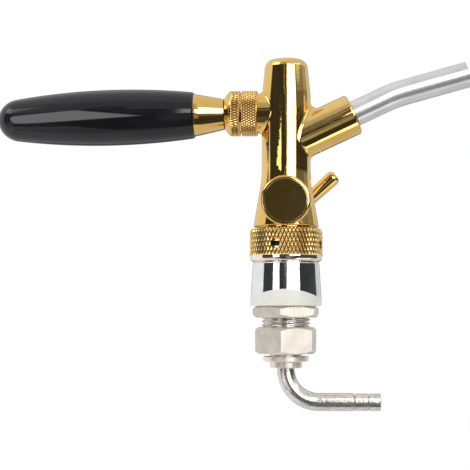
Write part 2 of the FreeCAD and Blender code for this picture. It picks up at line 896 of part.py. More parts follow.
def bonnet():
    """Knurled union nut of the lever neck, with a spigot for the ball cap."""
    washer_top = bonnet_top - bonnet_lip
    thread_top = neck_top + moving_gap
    return on_neck([
        (neck_radius + thread_play, bonnet_bottom),
        (bonnet_radius, bonnet_bottom, fine_edge),
        (bonnet_radius, bonnet_top, fine_edge),
        (spigot_radius, bonnet_top),
        (spigot_radius, bonnet_top + spigot_length),
        (bonnet_mouth_radius, bonnet_top + spigot_length),
        (bonnet_mouth_radius, washer_top),
        (ball_washer_radius, washer_top),
        (ball_washer_radius, thread_top),
        (neck_radius + thread_play, thread_top),
    ])


def ball_cap():
    """Second knurled ring, whose domed top is centred on the pivot so that the ferrule can swing over it."""
    ring = on_neck([
        (spigot_radius + thread_play, cap_bottom),
        (bonnet_radius, cap_bottom, fine_edge),
        (bonnet_radius, cap_top),
        (bonnet_radius - cap_edge, cap_top + cap_edge),
        (bonnet_radius - cap_edge, pivot_height + dome_radius),
        (dome_mouth_radius, pivot_height + dome_radius),
        (dome_mouth_radius, cap_top),
        (spigot_radius + thread_play, cap_bottom + spigot_length),
    ])
    outer = Part.makeSphere(dome_radius, pivot)
    skirt = on_neck(rod(bonnet_radius + beyond, cap_bottom - beyond, cap_top + cap_edge))
    spigot_end = bonnet_top + spigot_length + face_gap
    spigot_room = on_neck(rod(spigot_radius + thread_play, cap_bottom - beyond, spigot_end))
    hollow = Part.makeSphere(dome_radius - dome_wall, pivot)
    hollow = hollow.common(on_neck(rod(bonnet_radius, spigot_end, pivot_height + dome_radius)))
    return ring.common(outer.fuse(skirt)).cut([hollow, spigot_room])


def lever():
    """Ball with a tongue into the valve shaft below and a threaded stem above."""
    ball = Part.makeSphere(ball_radius, pivot)
    tongue = on_neck(rod(tongue_radius, 0, pivot_height))
    tip = Part.makeSphere(tongue_tip_radius, Vector(0, lever_place, 0))
    stem_top = ferrule_top + insert_length - stem_short
    stem = on_lever([
        (0, 0),
        (stem_neck_radius, 0),
        (stem_neck_radius, stem_neck_length),
        (stem_thread_radius, stem_neck_length + stem_thread_radius - stem_neck_radius),
        (stem_thread_radius, stem_top, soft_edge),
        (0, stem_top),
    ])
    return ball.fuse([tongue, tip, stem])


def handle_ferrule():
    """Tapered collar that carries the handle, hollowed underneath to clear the domed cap."""
    bore = stem_thread_radius + thread_play
    ferrule = on_lever([
        (bore, ferrule_bottom - ferrule_skirt),
        (ferrule_bottom_radius, ferrule_bottom - ferrule_skirt),
        (ferrule_bottom_radius, ferrule_bottom),
        (ferrule_top_radius, ferrule_top - ferrule_rim, ferrule_flare),
        (ferrule_top_radius, ferrule_top, fine_edge),
        (bore, ferrule_top),
    ])
    swing = Part.makeSphere(dome_radius + dome_gap, pivot)
    stem_shoulder = stem_neck_length + stem_thread_radius - stem_neck_radius
    relief = on_lever(rod(stem_thread_radius + ferrule_relief_play,
                          ferrule_bottom - ferrule_skirt - beyond, stem_shoulder))
    return ferrule.cut([swing, relief])


def handle_outline():
    """Edges of the handle's half outline: base, bellied barrel and a rounded tip that meets it smoothly."""
    base = ferrule_top
    belly_rise = handle_belly_radius - handle_base_radius
    barrel_radius = (handle_belly ** 2 + belly_rise ** 2) / (2 * belly_rise)
    centre_radius = handle_belly_radius - barrel_radius

    def barrel_point(distance):
        drop = distance - handle_belly
        return Vector(centre_radius + math.sqrt(barrel_radius ** 2 - drop ** 2), 0, base + distance)

    join = barrel_point(handle_barrel)
    slope = (handle_barrel - handle_belly) / (join.x - centre_radius)
    tip = handle_length - handle_barrel
    rise = tip ** 2 / (join.x / slope - 2 * tip)
    tall = tip + rise
    wide = math.sqrt(slope * join.x * tall ** 2 / rise)
    ellipse_centre = Vector(0, 0, join.z - rise)
    top = Vector(0, 0, base + handle_length)
    start = barrel_point(handle_edge)
    foot = Vector(start.x - handle_edge, 0, base)

    def tip_point(share):
        angle = math.asin(rise / tall) * (1 - share) + math.pi / 2 * share
        return Vector(wide * math.cos(angle), 0, ellipse_centre.z + tall * math.sin(angle))

    tip_curve = Part.BSplineCurve()
    tip_points = [tip_point(share / 6) for share in range(7)]
    tip_curve.interpolate(tip_points, InitialTangent=Vector(-slope, 0, 1), FinalTangent=Vector(-1, 0, 0))
    axis_foot = Vector(0, 0, base)
    return [
        Part.LineSegment(axis_foot, foot).toShape(),
        Part.LineSegment(foot, start).toShape(),
        Part.Arc(start, barrel_point(handle_belly), join).toShape(),
        tip_curve.toShape(),
        Part.LineSegment(top, axis_foot).toShape(),
    ]


def handle():
    solid = Part.Face(Part.Wire(handle_outline())).revolve(Vector(), UP, 360)
    lean = math.radians(lever_lean)
    solid = placed(solid, pivot, Vector(0, math.sin(lean), math.cos(lean)))
    socket = on_lever(rod(insert_radius, ferrule_top - beyond, ferrule_top + insert_length))
    return solid.cut(socket)


def handle_insert():
    thread = stem_thread_radius + thread_play
    return on_lever(tube(insert_radius, thread, ferrule_top, ferrule_top + insert_length))


def valve_shaft():
    """Rod that the lever's tongue pushes back to lift the seat washer off its seat."""
    front = guide_end + shaft_nose_room
    block_front = lever_place - shaft_block_length / 2
    block_back = lever_place + shaft_block_length / 2
    washer_place = seat_face + running_play
    end = washer_place + seat_washer_thickness + shaft_nut_height + shaft_end_proud
    shaft = on_shank([
        (0, front),
        (shaft_radius, front, soft_edge),
        (shaft_radius, block_front),
        (shaft_block_radius, block_front, soft_edge),
        (shaft_block_radius, block_back, soft_edge),
        (shaft_rod_radius, block_back),
        (shaft_rod_radius, washer_place),
        (shaft_end_radius, washer_place),
        (shaft_end_radius, end, fine_edge),
        (0, end),
    ])
    slot_half = tongue_tip_radius + tongue_gap
    slot = Part.makeBox(2 * slot_half, 2 * slot_half, 4 * shaft_block_radius,
                        Vector(-slot_half, lever_place - slot_half, -tongue_tip_radius - tongue_gap))
    return shaft.cut(slot)


def seat_washer():
    start = seat_face + running_play
    return on_shank([
        (shaft_end_radius, start),
        (seat_washer_radius, start, fine_edge),
        (seat_washer_radius, start + seat_washer_thickness, fine_edge),
        (shaft_end_radius, start + seat_washer_thickness),
    ])


def shaft_nut():
    start = seat_face + running_play + seat_washer_thickness
    nut = placed(hexagon(shaft_nut_flats, shaft_nut_height, False, True), Vector(0, start, 0), ALONG)
    bore = rod(shaft_end_radius + thread_play, start - beyond, start + shaft_nut_height + beyond)
    return nut.cut(on_shank(bore))


PIECES = [
    faucet_body, side_cap, side_cap_seal, flow_gland, flow_spindle, spindle_seal, flow_knob, knob_screw,
    flow_lever, compensator, coupling_nut, snap_ring, coupling_gasket, shank, shank_collar, saddle_washer,
    lock_nut, tail_nut, tail_gasket, tail_sleeve, tail_ring, tail_elbow, spout_tube, spout_seals, ball_seat,
    ball_washer, bonnet, ball_cap, lever, handle_ferrule, handle, handle_insert, valve_shaft, seat_washer,
    shaft_nut,
]

os.makedirs("parts", exist_ok=True)
for piece in PIECES:
    export(piece.__name__, piece())
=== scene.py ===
import math

import bmesh
import bpy
from mathutils import Matrix, Vector


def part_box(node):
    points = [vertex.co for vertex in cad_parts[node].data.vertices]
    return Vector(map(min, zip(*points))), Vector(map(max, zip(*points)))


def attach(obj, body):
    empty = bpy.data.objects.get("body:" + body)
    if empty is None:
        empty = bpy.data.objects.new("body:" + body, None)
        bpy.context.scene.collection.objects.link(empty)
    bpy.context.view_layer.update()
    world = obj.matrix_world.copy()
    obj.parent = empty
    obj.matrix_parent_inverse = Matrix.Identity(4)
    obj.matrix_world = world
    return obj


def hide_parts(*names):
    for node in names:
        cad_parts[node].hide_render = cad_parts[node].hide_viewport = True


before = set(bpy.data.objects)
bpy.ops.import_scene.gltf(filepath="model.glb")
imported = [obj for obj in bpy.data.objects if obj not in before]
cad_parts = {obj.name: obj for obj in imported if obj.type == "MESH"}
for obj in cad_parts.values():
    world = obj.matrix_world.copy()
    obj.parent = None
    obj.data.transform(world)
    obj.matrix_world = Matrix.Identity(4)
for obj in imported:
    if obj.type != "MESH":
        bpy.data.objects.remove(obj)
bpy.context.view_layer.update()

MM = 0.001

# The photograph's camera, worked out from the shared centre lines and the round faces seen at an angle
IMAGE_SIDE = 470
FOCAL_PIXELS = 1175
AIM_POINT = (265.5, 261.2)         # the pixel that the lens points at, as the photograph was cropped
ACROSS_POINT = (311.5, 308.5)      # the pixel where lines along X would meet
CAMERA_PLACE = (-0.560, 0.0013, -0.0121)
CAMERA_ROLL = 0.0021               # radians
CAMERA_REACH = (0.01, 20.0)        # the nearest and the farthest that it sees
SENSOR = 36.0

# Knurls: diamonds round a ring, with their width and height along the surface
COUPLING_DIAMOND = (1.85 * MM, 4.3 * MM)
COUPLING_KNURL_DEPTH = 0.6 * MM
NECK_DIAMOND = (1.3 * MM, 2.6 * MM)
NECK_KNURL_DEPTH = 0.42 * MM
DIAMOND_STEPS = 4                  # mesh steps on each slope of a diamond
DIAMOND_FLAT = 0.88                # share of the slope's height left under the worn tops
KNURL_RUN_OUT = 0.35               # share of the depth left in a knurl's end rows

# The coupling nut: its walls and steps are measured in from the knurled radius
COUPLING_FRONT_ROUNDING = 2.3 * MM
COUPLING_FACE_STEP = 0.25 * MM     # from the knurl's first row in to the flat front face
COUPLING_BACK_ROUNDING = 1.6 * MM
COUPLING_SMOOTH_BAND = 2.9 * MM    # the band's length towards the wall
COUPLING_BAND_STEP = 0.45 * MM
COUPLING_WALL = 2.05 * MM
COUPLING_POCKET_WALL = 2.9 * MM
COUPLING_FRONT_WALL = 4.3 * MM
COUPLING_LIP = 3.4 * MM            # the length of the front wall
SPANNER_HOLE_RADIUS = 2.3 * MM
SPANNER_HOLE_DEPTH = 2.9 * MM
SPANNER_HOLE_COUNT = 4
SPANNER_HOLE_TURN = 16.6           # degrees that the first hole stands off the near side
SPANNER_HOLE_SIDES = 32

# The lever neck's two rings
NECK_EDGE = 0.3 * MM
NECK_EDGE_ROWS = ((0.0, 1.5), (0.5, 0.8))    # each row's climb and step in, as shares of the edge
NECK_GAP = 0.75 * MM               # between the two rings
NECK_WALL = 1.48 * MM
NECK_MOUTH_WALL = 4.3 * MM
NECK_ROOF = 1.0 * MM
SPIGOT_STEP = 2.1 * MM             # from the lower knurl in to the spigot that the cap screws on
SPIGOT_PLAY = 0.02 * MM
CAP_KNURL_HEIGHT = 4.45 * MM
CAP_SHOULDER = 0.5 * MM            # from the cap's knurl up and in to the dome
DOME_WALL = 1.5 * MM
DOME_MOUTH_RADIUS = 7.2 * MM
PIVOT_HEIGHT = 17.5 * MM           # the lever ball's centre, which is also the dome's

# The shank and its thread
THREAD_RADIUS = 11.455 * MM
THREAD_PITCH = 1.814 * MM
THREAD_DEPTH = 1.0 * MM
THREAD_PROFILE = (0.0, 0.0, 0.25, 0.75, 1.0, 1.0, 0.75, 0.25)
THREAD_STEPS = len(THREAD_PROFILE)
THREAD_RUN_OUT = 0.6               # turns over which the thread fades at its ends
SHANK_COLUMNS = 120
SHANK_BEVEL = 0.5 * MM
SHANK_FLANGE_THICKNESS = 2.3 * MM
SHANK_FLANGE_STEP = 0.7 * MM
SHANK_TAPER_LENGTH = 21.0 * MM
SHANK_MOUTH_RADIUS = 7.7 * MM
SHANK_BORE_RADIUS = 5.0 * MM

SLIVER = 0.05 * MM                 # keeps two rows of a mesh apart
ROUNDING_STEPS = 8
DOME_STEPS = 10
SHARP_TURN = 24                    # degrees between faces whose edge stays crisp on a built piece
FRAME_SHARP_TURN = 30              # the same on the frame's own pieces

FLOOR_HEIGHT = -0.25
FLOOR_RADIUS = 0.9
FLOOR_SIDES = 96
FLOOR_FADE = (0.5, 0.97)           # shares of the radius between which the floor fades out

# Brightness of the studio's parts
TENT_LEVEL = 0.80
FAR_CARD_LEVEL = 0.25
CARD_LEVEL = 0.040
CARD_GLOW = 0.025                  # more of it on a stretch near the card's middle
WINDOW_LEVEL = 5.0
LOW_WINDOW_LEVEL = 2.0
LOW_KNURL_LEVEL = 0.5
LEFT_KNURL_LEVEL = 2.2
RIGHT_KNURL_LEVEL = 1.1
MOTTLED_HAZE_LEVEL = 0.7
PLAIN_HAZE_LEVEL = 0.26
TABLE_NEAR_LEVEL = 0.22
TABLE_FAR_LEVEL = 0.20
TABLE_FOOT_LEVEL = 0.06
WALL_NOSE_LEVEL = 0.20             # of the side wall's end towards the nose
WALL_MIDDLE_LEVEL = 0.13
EVEN_LEVEL = 0.85                  # of the plain light that dull surfaces see

# Near lights, placed so that the faces which show them in the photograph show them here; turns are in degrees
LEVER_STRIP = {"place": (-0.43, -0.0645, 0.26), "target": (0.0, -0.0645, 0.0),
               "width": 0.186, "height": 0.170, "turn": 10.2, "brightness": 1.8}
HANDLE_STRIP = {"place": (-0.378, -0.090, 0.282), "target": (0.0, -0.090, 0.282),
                "width": 0.300, "height": 0.256, "turn": 33.0, "brightness": 3.6}
SPOUT_STRIP = {"place": (-0.30, -0.223, -0.073), "target": (0.0, -0.223, -0.073),
               "width": 0.068, "height": 0.184, "turn": 0.0, "brightness": 4.0}
TAIL_STRIP = {"place": (-0.30, 0.13, 0.24), "target": (0.0, 0.06, -0.01),
              "width": 0.28, "height": 0.12, "turn": 0.0, "brightness": 0.9}


class Socket:
    """One output of a node. Arithmetic on it adds Math nodes."""

    def __init__(self, tree, output):
        self.tree = tree
        self.output = output

    def __add__(self, other):
        return self.tree.maths("ADD", self, other)

    def __radd__(self, other):
        return self.tree.maths("ADD", other, self)

    def __sub__(self, other):
        return self.tree.maths("SUBTRACT", self, other)

    def __rsub__(self, other):
        return self.tree.maths("SUBTRACT", other, self)

    def __mul__(self, other):
        return self.tree.maths("MULTIPLY", self, other)

    def __rmul__(self, other):
        return self.tree.maths("MULTIPLY", other, self)

    def __truediv__(self, other):
        return self.tree.maths("DIVIDE", self, other)

    def __rtruediv__(self, other):
        return self.tree.maths("DIVIDE", other, self)

    def __neg__(self):
        return self.tree.maths("MULTIPLY", self, -1.0)

    def rises(self, low, high):
        """0 below low, 1 above high and smooth between."""
        return self.tree.node("ShaderNodeMapRange", {"interpolation_type": "SMOOTHSTEP"},
                              {"Value": self, "From Min": low, "From Max": high})

    def within(self, low, high, soft):
        """1 between low and high, fading to 0 over a soft edge outside them."""
        return self.rises(low - soft, low + soft) * (1 - self.rises(high - soft, high + soft))


class Tree:
    """The node tree of a material or of the world."""

    def __init__(self, owner):
        owner.use_nodes = True
        self.tree = owner.node_tree
        self.tree.nodes.clear()

    def node(self, kind, settings=None, inputs=None, output=0):
        """Adds a node, sets it, fills or links its inputs, and gives one of its outputs if it has any."""
        made = self.tree.nodes.new(kind)
        for name, value in (settings or {}).items():
            setattr(made, name, value)
        for name, value in (inputs or {}).items():
            if isinstance(value, Socket):
                self.tree.links.new(value.output, made.inputs[name])
            else:
                made.inputs[name].default_value = value
        return Socket(self, made.outputs[output]) if made.outputs else None

    def maths(self, operation, *terms):
        return self.node("ShaderNodeMath", {"operation": operation}, dict(enumerate(terms)))

    def place(self):
        return self.node("ShaderNodeTexCoord", output="Object")

    def noise(self, size, detail, stretch=(1, 1, 1)):
        """Cloudy noise from about 0 to 1. A stretch above 1 packs its features closer along that axis."""
        stretched = self.node("ShaderNodeMapping", inputs={"Vector": self.place(), "Scale": stretch})
        return self.node("ShaderNodeTexNoise", inputs={
            "Vector": stretched, "Scale": 1 / size, "Detail": detail})

    def blend(self, share, low, high):
        """A colour between two colours."""
        return self.node("ShaderNodeMix", {"data_type": "RGBA"}, {
            "Factor": share, "A": colour_value(low), "B": colour_value(high)}, output="Result")

    def bump(self, height, distance, strength):
        return self.node("ShaderNodeBump", inputs={
            "Height": height, "Distance": distance, "Strength": strength})

    def shade(self, **sockets):
        """The principled shader, wired to the output."""
        names = {name.replace("_", " ").title().replace("Ior", "IOR"): value
                 for name, value in sockets.items()}
        shader = self.node("ShaderNodeBsdfPrincipled", inputs=names)
        self.node("ShaderNodeOutputMaterial", inputs={"Surface": shader})


def colour_value(value):
    return value if isinstance(value, Socket) else (*value, 1)


def new_finish(name):
    material = bpy.data.materials.new(name)
    return material, Tree(material)


def polished_gold():
    """Thin bright gold plate over a polished brass casting."""
    material, tree = new_finish("polished_gold")
    clouds = tree.noise(18 * MM, 2.0)
    smears = tree.noise(4 * MM, 4.0, (1, 0.25, 1))
    ripples = tree.noise(11 * MM, 2.0)
    fine = tree.noise(1.2 * MM, 2.0)
    tree.shade(
        base_color=tree.blend(clouds.rises(0.35, 0.65), (0.79, 0.51, 0.155), (0.84, 0.57, 0.20)),
        metallic=1.0,
        roughness=0.045 + 0.05 * smears.rises(0.45, 0.75),
        normal=tree.bump(ripples + 0.04 * fine, 0.25 * MM, 0.38),
    )
    return material


def knurled_gold(name, groove_shade_start, painted_groove_shade, roughness):
    """Gold plate over sharp knurls, with painted shade: the colour darkens to brown deeper in the grooves."""
    material, tree = new_finish(name)
    depth = tree.node("ShaderNodeAttribute", {"attribute_name": "groove"}, output="Fac")
    grains = tree.noise(0.6 * MM, 2.0)
    worn = tree.noise(6 * MM, 2.0)
    lit = tree.blend(worn.rises(0.4, 0.7), (0.95, 0.65, 0.24), (0.98, 0.73, 0.32))
    tree.shade(
        # painted shade: the deeper a point lies in a groove, the nearer its colour is to the dark groove
        # colour
        base_color=tree.blend(depth.rises(groove_shade_start, groove_shade_start + 0.6), lit, painted_groove_shade),
        metallic=0.85,
        roughness=roughness + 0.08 * grains + 0.12 * depth,
        normal=tree.bump(grains, 0.04 * MM, 0.6),
    )
    return material


def pale_gold():
    """The coupling nut's turned band, plated thinner and polished brighter than its knurl."""
    material, tree = new_finish("pale_gold")
    wear = tree.noise(5 * MM, 3.0)
    lines = tree.noise(1.2 * MM, 3.0, (1, 5, 1))
    tree.shade(
        base_color=tree.blend(wear.rises(0.35, 0.7), (0.88, 0.76, 0.58), (0.94, 0.86, 0.74)),
        metallic=1.0,
        roughness=0.03 + 0.02 * wear,
        normal=tree.bump(lines, 0.01 * MM, 0.3),
    )
    return material


def bright_chrome():
    """Chrome plate on the collar, smooth enough to mirror the studio's edges."""
    material, tree = new_finish("bright_chrome")
    haze = tree.noise(6 * MM, 3.0)
    ripples = tree.noise(9 * MM, 2.0)
    tree.shade(
        base_color=tree.blend(haze.rises(0.3, 0.7), (0.78, 0.79, 0.82), (0.84, 0.85, 0.87)),
        metallic=1.0,
        roughness=0.03 + 0.03 * haze,
        normal=tree.bump(ripples, 0.2 * MM, 0.35),
    )
    return material


def satin_nickel():
    """Nickel plate on machined brass: warm grey, with fine marks along the shank."""
    material, tree = new_finish("satin_nickel")
    stains = tree.noise(7 * MM, 4.0)
    grain = tree.noise(0.7 * MM, 3.0, (1, 0.14, 1))
    marked = 0.6 * stains + 0.4 * grain
    tree.shade(
        base_color=tree.blend(marked.rises(0.38, 0.62), (0.79, 0.71, 0.62), (0.91, 0.85, 0.77)),
        metallic=0.6,
        roughness=0.27 + 0.12 * grain,
        normal=tree.bump(grain, 0.1 * MM, 0.9),
    )
    return material


def bright_nickel():
    """The tail tube's smoother nickel, mottled where the mandrel bent it."""
    material, tree = new_finish("bright_nickel")
    mottle = tree.noise(1.4 * MM, 5.0)
    tree.shade(
        base_color=tree.blend(mottle.rises(0.4, 0.65), (0.66, 0.62, 0.57), (0.82, 0.79, 0.75)),
        metallic=0.92,
        roughness=0.14 + 0.12 * mottle,
        normal=tree.bump(mottle, 0.14 * MM, 0.5),
    )
    return material


def brushed_steel():
    """Stainless tube, brushed round its length."""
    material, tree = new_finish("brushed_steel")
    brushing = tree.noise(3.5 * MM, 5.0, (1, 1, 14))
    cloud = tree.noise(9 * MM, 3.0)
    tree.shade(
        base_color=tree.blend(cloud.rises(0.35, 0.7), (0.66, 0.66, 0.67), (0.74, 0.74, 0.74)),
        metallic=0.82,
        roughness=0.25 + 0.10 * brushing,
        normal=tree.bump(brushing, 0.04 * MM, 0.5),
    )
    return material


def ivory_nylon():
    """The saddle washer's cast nylon, which light enters a little."""
    material, tree = new_finish("ivory_nylon")
    cloud = tree.noise(8 * MM, 3.0)
    pores = tree.noise(0.6 * MM, 2.0)
    tree.shade(
        base_color=tree.blend(cloud.rises(0.3, 0.7), (0.81, 0.80, 0.72), (0.85, 0.85, 0.78)),
        roughness=0.26 + 0.12 * pores,
        subsurface_weight=0.15,
        subsurface_radius=(4 * MM, 3 * MM, 2 * MM),
        normal=tree.bump(pores, 0.04 * MM, 0.6),
    )
    return material


def lacquered_black():
    """Turned handle under deep gloss lacquer."""
    material, tree = new_finish("lacquered_black")
    drift = tree.noise(30 * MM, 2.0)
    dust = tree.noise(1.5 * MM, 2.0)
    tree.shade(
        base_color=tree.blend(drift.rises(0.3, 0.7), (0.006, 0.006, 0.008), (0.011, 0.011, 0.013)),
        roughness=0.06 + 0.05 * drift + 0.04 * dust.rises(0.6, 0.8),
        specular_ior_level=0.42,
        normal=tree.bump(drift, 0.2 * MM, 0.25),
    )
    return material


def plain_metal(name, dull, bright, roughness):
    """Metal of the hidden turned pieces, with fine machining lines."""
    material, tree = new_finish(name)
    lines = tree.noise(1.5 * MM, 3.0, (1, 6, 1))
    tree.shade(
        base_color=tree.blend(lines, dull, bright),
        metallic=1.0,
        roughness=roughness + 0.12 * lines,
        normal=tree.bump(lines, 0.03 * MM, 0.6),
    )
    return material


def plain_plastic(name, dark, light, roughness):
    """Plastic or rubber of the hidden seals and seats."""
    material, tree = new_finish(name)
    grains = tree.noise(1 * MM, 3.0)
    tree.shade(
        base_color=tree.blend(grains, dark, light),
        roughness=roughness + 0.1 * grains,
        normal=tree.bump(grains, 0.05 * MM, 0.5),
    )
    return material


GOLD = polished_gold()
# The dark browns given here are painted shade in the knurls' grooves
COARSE_KNURL = knurled_gold("coarse_knurled_gold", 0.36, (0.15, 0.065, 0.015), 0.11)
FINE_KNURL = knurled_gold("fine_knurled_gold", 0.25, (0.30, 0.13, 0.03), 0.22)
BAND_GOLD = pale_gold()
CHROME = bright_chrome()
NICKEL = satin_nickel()
TUBE_NICKEL = bright_nickel()
STEEL = brushed_steel()
NYLON = ivory_nylon()
BLACK = lacquered_black()
BRASS = plain_metal("turned_brass", (0.62, 0.42, 0.16), (0.78, 0.56, 0.26), 0.22)
BARE_STEEL = plain_metal("turned_steel", (0.50, 0.50, 0.51), (0.66, 0.66, 0.67), 0.22)
RUBBER = plain_plastic("black_rubber", (0.010, 0.010, 0.011), (0.025, 0.025, 0.027), 0.55)
ACETAL = plain_plastic("white_acetal", (0.74, 0.74, 0.72), (0.82, 0.82, 0.80), 0.35)

FINISHES = {
    GOLD: ["faucet_body", "side_cap", "flow_knob", "flow_lever", "handle_ferrule"],
    CHROME: ["shank_collar"],
    NICKEL: ["lock_nut", "tail_nut", "tail_ring", "tail_sleeve"],
    TUBE_NICKEL: ["tail_elbow"],
    STEEL: ["spout_tube"],
    NYLON: ["saddle_washer"],
    BLACK: ["handle"],
    BRASS: ["flow_gland", "flow_spindle", "handle_insert"],
    BARE_STEEL: ["lever", "valve_shaft", "shaft_nut", "knob_screw", "snap_ring"],
    RUBBER: ["side_cap_seal", "spindle_seal", "spout_seals", "seat_washer", "coupling_gasket",
             "tail_gasket"],
    ACETAL: ["compensator", "ball_seat", "ball_washer"],
}


def give_finish(piece, *materials):
    """Fills a piece's material slots. Its faces keep the slots that they were given."""
    slots = piece.data.materials
    while len(slots) > len(materials):
        slots.pop()
    while len(slots) < len(materials):
        slots.append(None)
    for index, material in enumerate(materials):
        slots[index] = material


def dress_frame():
    for material, names in FINISHES.items():
        for name in names:
            give_finish(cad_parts[name], material)


def soften(piece, angle):
    """Smooth shading, with edges sharper than an angle kept crisp."""
    for face in piece.data.polygons:
        face.use_smooth = True
    piece.data.set_sharp_from_angle(angle=math.radians(angle))


def soften_frame():
    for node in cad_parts.values():
        if not node.hide_render:
            soften(node, FRAME_SHARP_TURN)


def piece_from(form, name):
    """An object in the scene from a finished bmesh."""
    mesh = bpy.data.meshes.new(name)
    form.to_mesh(mesh)
    form.free()
    piece = bpy.data.objects.new(name, mesh)
    bpy.context.scene.collection.objects.link(piece)
    return piece


def place_camera():
    """The photograph looks along +X with the nose up, so the lever points left and the spout right."""
    ahead = Vector((
        FOCAL_PIXELS,
        AIM_POINT[1] - ACROSS_POINT[1],
        ACROSS_POINT[0] - AIM_POINT[0],
    )).normalized()
    up = Matrix.Rotation(-CAMERA_ROLL, 3, ahead) @ Vector((0, -1, 0))
    right = ahead.cross(up).normalized()
    up = right.cross(ahead)
    data = bpy.data.cameras.new("camera")
    data.sensor_width = SENSOR
    data.lens = SENSOR * FOCAL_PIXELS / IMAGE_SIDE
    data.shift_x = (IMAGE_SIDE / 2 - AIM_POINT[0]) / IMAGE_SIDE
    data.shift_y = (AIM_POINT[1] - IMAGE_SIDE / 2) / IMAGE_SIDE
    data.clip_start, data.clip_end = CAMERA_REACH
    camera = bpy.data.objects.new("camera", data)
    turn = Matrix((right, up, -ahead)).transposed()
    camera.matrix_world = Matrix.Translation(CAMERA_PLACE) @ turn.to_4x4()
    bpy.context.scene.collection.objects.link(camera)
    bpy.context.scene.camera = camera


def lay_floor():
    """A round pale floor well below the faucet, fading out at its rim."""
    form = bmesh.new()
    bmesh.ops.create_circle(form, cap_ends=True, segments=FLOOR_SIDES, radius=FLOOR_RADIUS)
    floor = piece_from(form, "floor")
    floor.location = (0, 0, FLOOR_HEIGHT)
    floor.visible_glossy = False
    material, tree = new_finish("pale_floor")
    distance = tree.node("ShaderNodeVectorMath", {"operation": "LENGTH"}, {0: tree.place()}, output="Value")
    speckle = tree.noise(20 * MM, 3.0)
    fade_start, fade_end = (FLOOR_RADIUS * share for share in FLOOR_FADE)
    tree.shade(
        base_color=tree.blend(speckle, (0.86, 0.86, 0.86), (0.90, 0.90, 0.90)),
        roughness=0.8,
        alpha=1 - distance.rises(fade_start, fade_end),
    )
    give_finish(floor, material)


